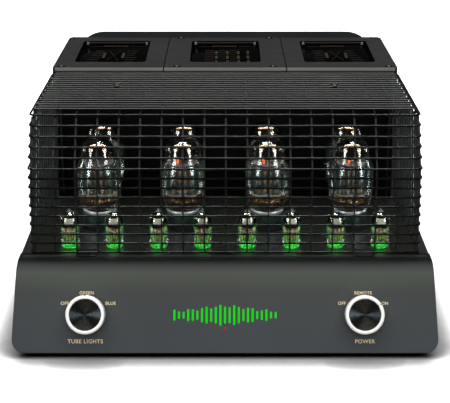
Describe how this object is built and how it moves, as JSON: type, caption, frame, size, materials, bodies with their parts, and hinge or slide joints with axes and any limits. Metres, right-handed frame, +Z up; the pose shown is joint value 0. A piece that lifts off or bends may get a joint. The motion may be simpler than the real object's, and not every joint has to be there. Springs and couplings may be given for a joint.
{
  "type": "tube power amplifier",
  "caption": "Tube power amplifier with a leaning front panel, two rotary knobs, a lift-off wire cage over the valves and a transformer housing with three glazed covers.",
  "frame": {"origin": "centre of the footprint box, on the surface that the feet stand on", "axes": "+X to the right seen from the front, +Y to the back, +Z up; the front panel faces -Y"},
  "size_m": [0.445, 0.4564, 0.2593],
  "materials": {
    "fascia_panel": "satin dark grey",
    "light_diffuser": "lit green diffuser",
    "lamp_red": "clear red",
    "knob_metal": "polished ring, black spun centre",
    "switch_body": "moulded",
    "chassis_paint": "satin black, fine texture",
    "cover_paint": "fine textured dark grey",
    "smoked_glass": "polished black glass",
    "screw_steel": "blackened steel",
    "rubber_foot": "matt",
    "core_steel": "varnished laminations",
    "coil_wrap": "wound copper under paper",
    "circuit_board": "solder mask",
    "capacitor_can": "sleeved can",
    "ceramic": "glazed",
    "lamp_green": "clear green",
    "valve_collar": "satin",
    "clear_glass": "clear",
    "anode_metal": "grey carbonised",
    "pin_metal": "plated",
    "cage_wire": "satin black coat",
    "gold_plate": "gold plated",
    "post_cap": "moulded hexagon caps",
    "insulator": "moulded"
  },
  "bodies": {
    "chassis": {"front_fascia": "fascia_panel", "fascia_light_bars": "light_diffuser", "standby_lamp": "lamp_red", "rotary_switches": "switch_body", "input_switch_body": "switch_body", "side_panels": "chassis_paint", "bottom_cover": "chassis_paint", "top_deck": "chassis_paint", "housing_front": "chassis_paint", "housing_sides": "chassis_paint", "rear_panel": "chassis_paint", "transformer_covers": "cover_paint", "window_panes": "smoked_glass", "cover_and_foot_screws": "screw_steel", "board_standoffs": "screw_steel", "transformer_mount_rails": "screw_steel", "feet": "rubber_foot", "transformer_cores": "core_steel", "transformer_coils": "coil_wrap", "fascia_light_board": "circuit_board", "tube_socket_board": "circuit_board", "supply_and_input_boards": "circuit_board", "filter_capacitors": "capacitor_can", "output_valve_sockets": "ceramic", "small_valve_sockets": "ceramic", "valve_lamps": "lamp_green", "output_valve_bases": "valve_collar", "output_valve_glass": "clear_glass", "small_valve_glass": "clear_glass", "output_valve_anodes": "anode_metal", "output_valve_supports": "anode_metal", "small_valve_electrodes": "anode_metal", "valve_pins": "pin_metal", "cage_brackets": "cage_wire", "binding_post_studs": "gold_plate", "phono_input_sockets": "gold_plate", "control_jacks": "gold_plate", "binding_post_washers": "insulator", "mains_inlet": "insulator", "fuse_holder": "insulator", "balanced_input_sockets": "insulator"},
    "tube_light_knob": {"tube_light_knob": "knob_metal"},
    "power_knob": {"power_knob": "knob_metal"},
    "cage": {"cage_front_lower": "cage_wire", "cage_front_upper": "cage_wire", "cage_top": "cage_wire", "cage_sides": "cage_wire", "cage_tabs": "cage_wire", "cage_screws": "screw_steel"},
    "fuse_cap": {"fuse_cap": "insulator"},
    "input_switch_lever": {"input_switch_lever": "insulator"},
    "balanced_latch_1": {"balanced_latch_1": "insulator"},
    "balanced_latch_2": {"balanced_latch_2": "insulator"},
    "binding_post_cap_1": {"binding_post_cap_1": "post_cap"},
    "binding_post_cap_2": {"binding_post_cap_2": "post_cap"},
    "binding_post_cap_3": {"binding_post_cap_3": "post_cap"},
    "binding_post_cap_4": {"binding_post_cap_4": "post_cap"},
    "binding_post_cap_5": {"binding_post_cap_5": "post_cap"},
    "binding_post_cap_6": {"binding_post_cap_6": "post_cap"}
  },
  "joints": [
    {"name": "cage_lift_off", "type": "slide", "parent": "chassis", "child": "cage", "axis": [0, 0, 1], "range_m": [0, 0.15]},
    {"name": "tube_light_knob_turn", "type": "hinge", "parent": "chassis", "child": "tube_light_knob", "pos_m": [-0.1445, -0.20424, 0.04365], "axis": [0, -0.9231, 0.3846], "range_deg": [-57, 57]},
    {"name": "power_knob_turn", "type": "hinge", "parent": "chassis", "child": "power_knob", "pos_m": [0.1445, -0.20424, 0.04365], "axis": [0, -0.9231, 0.3846], "range_deg": [0, 114]},
    {"name": "fuse_cap_turn", "type": "hinge", "parent": "chassis", "child": "fuse_cap", "pos_m": [-0.14, 0.19784, 0.062], "axis": [0, 1, 0], "range_deg": [0, 90]},
    {"name": "input_switch_slide", "type": "slide", "parent": "chassis", "child": "input_switch_lever", "axis": [1, 0, 0], "range_m": [0, 0.007]},
    {"name": "balanced_latch_1_press", "type": "slide", "parent": "chassis", "child": "balanced_latch_1", "axis": [0, -1, 0], "range_m": [0, 0.0015], "stiffness_N_per_m": 300},
    {"name": "balanced_latch_2_press", "type": "slide", "parent": "chassis", "child": "balanced_latch_2", "axis": [0, -1, 0], "range_m": [0, 0.0015], "stiffness_N_per_m": 300},
    {"name": "binding_post_cap_1_turn", "type": "hinge", "parent": "chassis", "child": "binding_post_cap_1", "pos_m": [-0.092, 0.21284, 0.056], "axis": [0, 1, 0], "range_deg": [0, 720]},
    {"name": "binding_post_cap_2_turn", "type": "hinge", "parent": "chassis", "child": "binding_post_cap_2", "pos_m": [-0.068, 0.21284, 0.056], "axis": [0, 1, 0], "range_deg": [0, 720]},
    {"name": "binding_post_cap_3_turn", "type": "hinge", "parent": "chassis", "child": "binding_post_cap_3", "pos_m": [-0.044, 0.21284, 0.056], "axis": [0, 1, 0], "range_deg": [0, 720]},
    {"name": "binding_post_cap_4_turn", "type": "hinge", "parent": "chassis", "child": "binding_post_cap_4", "pos_m": [0.044, 0.21284, 0.056], "axis": [0, 1, 0], "range_deg": [0, 720]},
    {"name": "binding_post_cap_5_turn", "type": "hinge", "parent": "chassis", "child": "binding_post_cap_5", "pos_m": [0.068, 0.21284, 0.056], "axis": [0, 1, 0], "range_deg": [0, 720]},
    {"name": "binding_post_cap_6_turn", "type": "hinge", "parent": "chassis", "child": "binding_post_cap_6", "pos_m": [0.092, 0.21284, 0.056], "axis": [0, 1, 0], "range_deg": [0, 720]}
  ]
}
